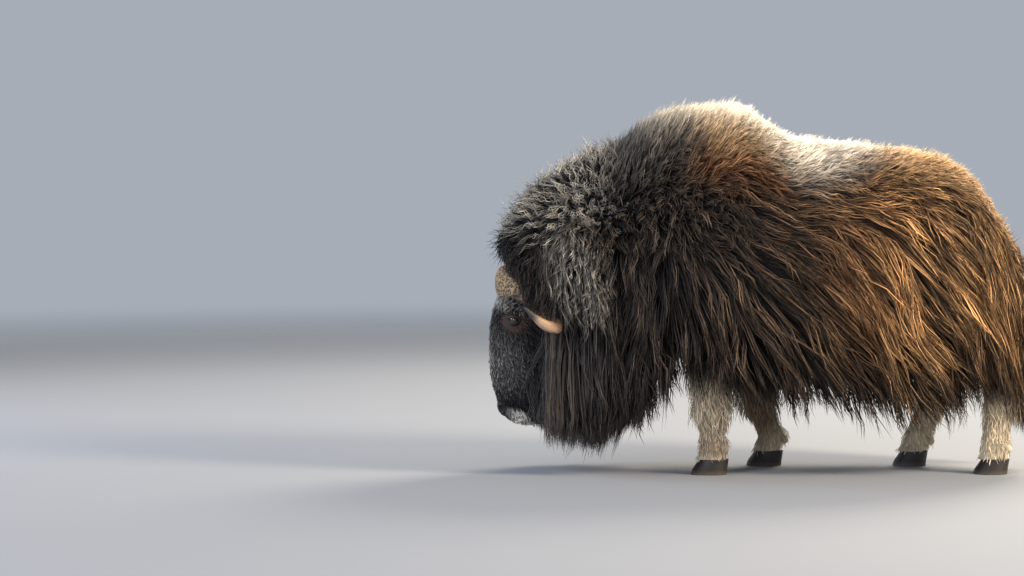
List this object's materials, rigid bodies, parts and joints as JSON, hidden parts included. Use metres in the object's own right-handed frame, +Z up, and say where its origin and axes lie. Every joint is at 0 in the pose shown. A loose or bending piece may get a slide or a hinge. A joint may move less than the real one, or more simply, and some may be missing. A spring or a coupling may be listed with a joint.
{
  "type": "life-size muskox bull model",
  "caption": "Standing muskox with a lowered head, downcurved horns, a humped back and a long hanging coat over short pale legs.",
  "frame": {"origin": "on the floor, below the middle of the model's overall box", "axes": "+X towards the tail, so the nose is at -X; +Z up; the animal's left side is at -Y"},
  "size_m": [1.9068, 0.8068, 1.2825],
  "materials": {
    "coat": "long guard hair, brown with golden and rusty strands, cream on the saddle",
    "mane": "long dark hair with greyish tips over the horns",
    "face": "short dark fur, pale at the lips and chin",
    "stocking": "short dense straw-coloured fur",
    "horn": "polished horn, rough brown boss, dark grey tip",
    "hoof": "worn dark horn",
    "eye": "wet dark brown"
  },
  "bodies": {
    "root": {"head": "face", "neck": "mane", "torso": "coat", "tail": "coat", "horn_left": "horn", "ear_left": "face", "eye_left": "eye", "horn_right": "horn", "ear_right": "face", "eye_right": "eye", "leg_left_fore_upper": "stocking", "leg_left_fore_lower": "stocking", "hoof_left_fore_inner": "hoof", "hoof_left_fore_outer": "hoof", "leg_right_fore_upper": "stocking", "leg_right_fore_lower": "stocking", "hoof_right_fore_inner": "hoof", "hoof_right_fore_outer": "hoof", "leg_left_hind_upper": "stocking", "leg_left_hind_lower": "stocking", "hoof_left_hind_inner": "hoof", "hoof_left_hind_outer": "hoof", "leg_right_hind_upper": "stocking", "leg_right_hind_lower": "stocking", "hoof_right_hind_inner": "hoof", "hoof_right_hind_outer": "hoof"}
  },
  "joints": []
}
